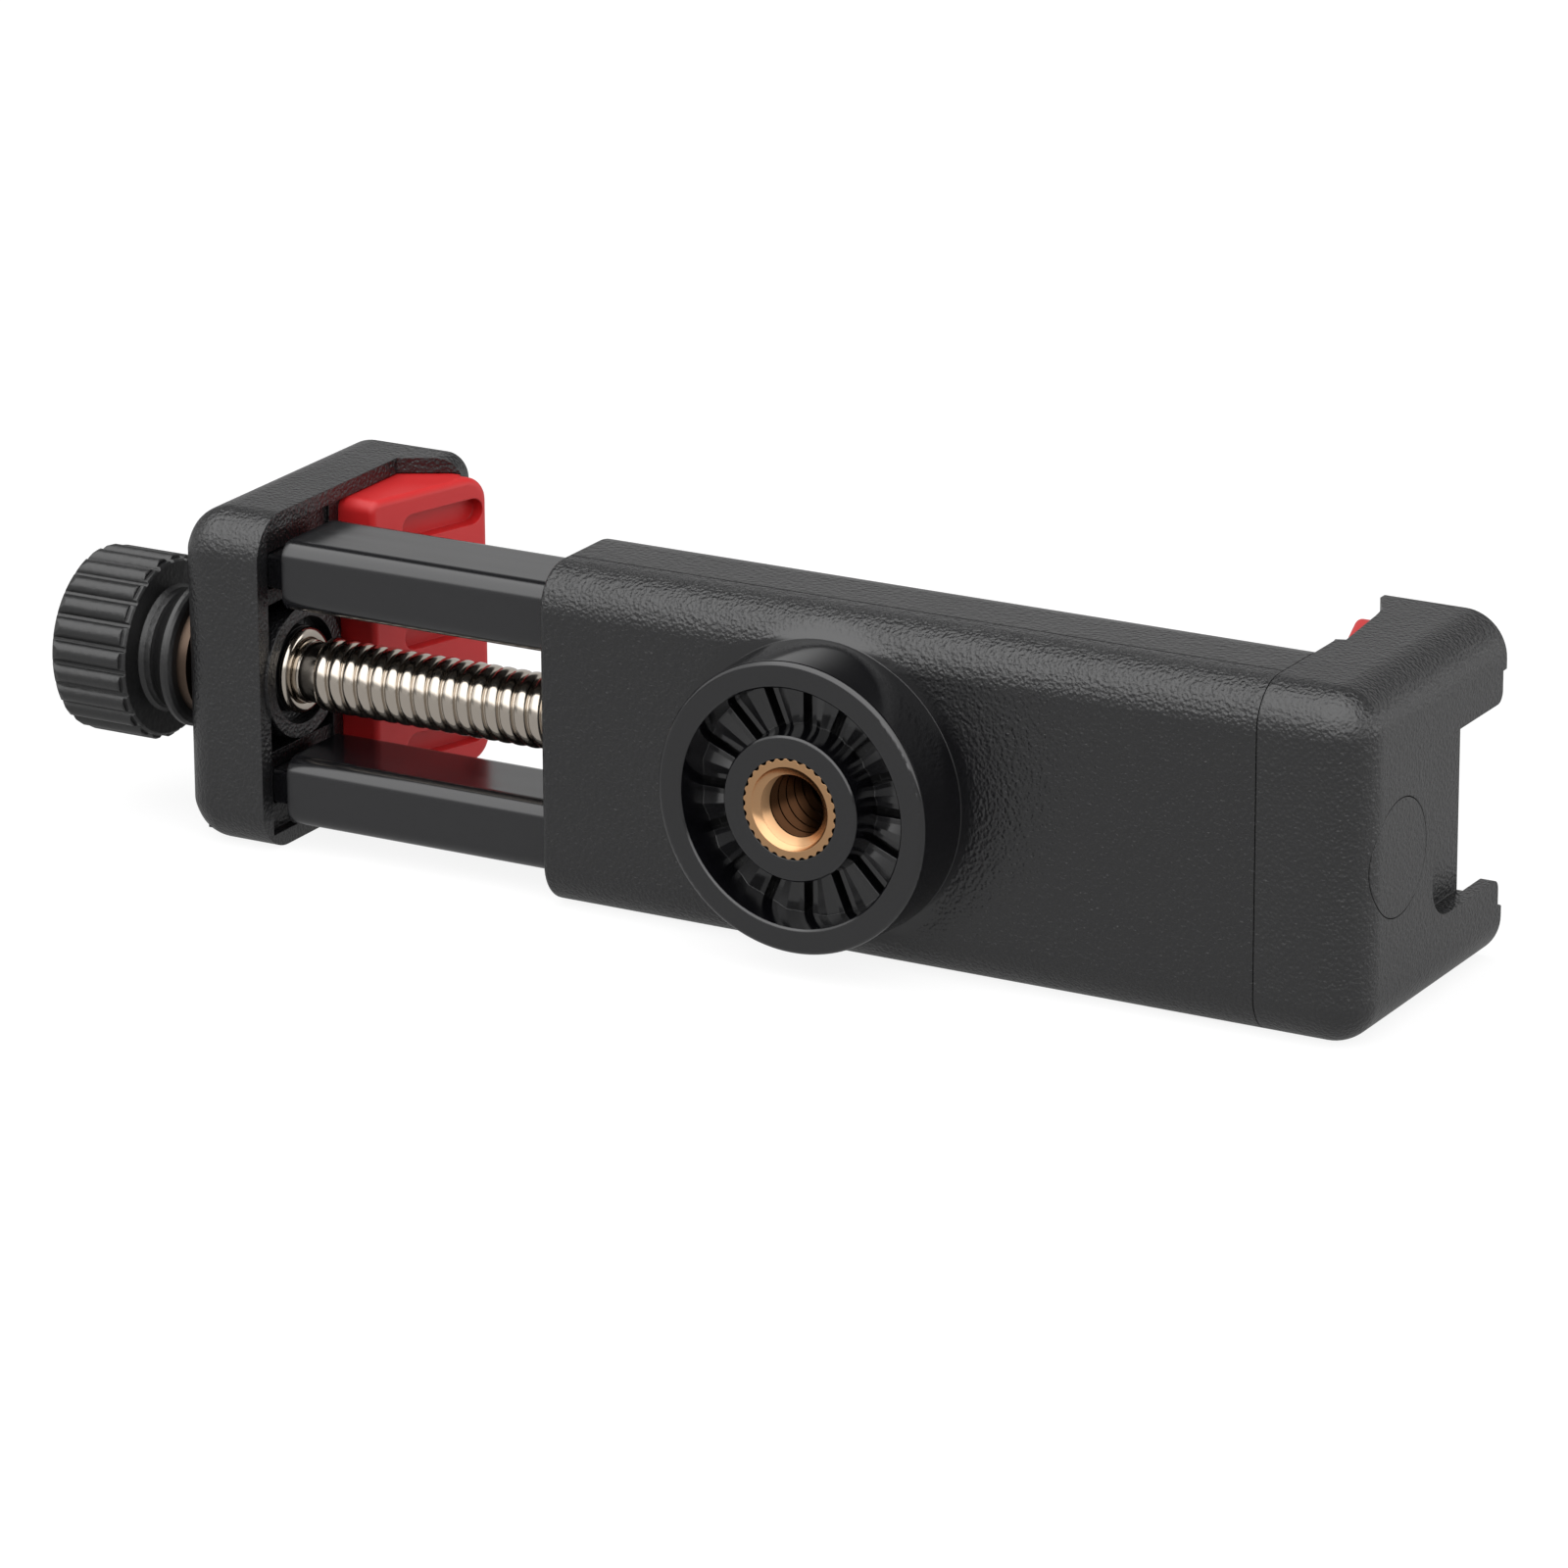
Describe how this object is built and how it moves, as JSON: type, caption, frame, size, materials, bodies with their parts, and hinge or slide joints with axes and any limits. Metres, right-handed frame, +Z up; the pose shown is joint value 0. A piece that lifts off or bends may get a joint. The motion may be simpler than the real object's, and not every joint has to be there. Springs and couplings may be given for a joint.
{
  "type": "tripod phone mount adapter",
  "caption": "Screw-driven phone clamp with padded jaws on two sliding arms, a ribbed knob and a tripod-thread socket with a toothed hub.",
  "frame": {"origin": "centre of the tripod thread's mouth, in the plane of the hub's rim and boss face", "axes": "+X along the holder from the knob towards the fixed jaw, +Y from the tripod side towards the phone, +Z up across the holder's width; the holder lies on the long sides at its lowest Z"},
  "size_m": [0.1179, 0.0314, 0.0282],
  "materials": {
    "grained_black": "fine moulded grain, black",
    "satin_black": "smooth satin black",
    "gloss_black": "smooth glossy black",
    "knob_black": "ribbed, semi-gloss black",
    "red_rubber": "soft matt red",
    "nickel_steel": "bright nickel plate",
    "screw_steel": "zinc-plated fasteners",
    "washer_steel": "brownish passivated steel",
    "brass": "machined brass"
  },
  "bodies": {
    "holder": {"back_housing": "grained_black", "front_housing": "satin_black", "housing_screws": "screw_steel", "tripod_insert": "brass", "guide_block": "satin_black", "drive_nut": "brass", "fixed_jaw": "grained_black", "fixed_jaw_pad": "red_rubber", "end_plug": "grained_black"},
    "sliding_jaw": {"moving_jaw": "grained_black", "moving_jaw_pad": "red_rubber", "upper_arm": "gloss_black", "lower_arm": "gloss_black", "arm_screws": "screw_steel", "stop_screws": "screw_steel", "thrust_washer": "satin_black"},
    "turning_screw": {"lead_screw": "nickel_steel", "retaining_ring": "nickel_steel", "end_ring": "screw_steel", "knob": "knob_black", "knob_washer": "washer_steel"}
  },
  "joints": [
    {"name": "jaw_slide", "type": "slide", "parent": "holder", "child": "sliding_jaw", "axis": [1, 0, 0], "range_m": [-0.0178, 0.0256]},
    {"name": "knob_spin", "type": "hinge", "parent": "sliding_jaw", "child": "turning_screw", "pos_m": [-0.0685, 0.0119, 0], "axis": [1, 0, 0], "range_deg": [-4747, 6827]}
  ],
  "couplings": [
    {"joint": "knob_spin", "follows": "jaw_slide", "rad_per_m": 4654.2}
  ]
}
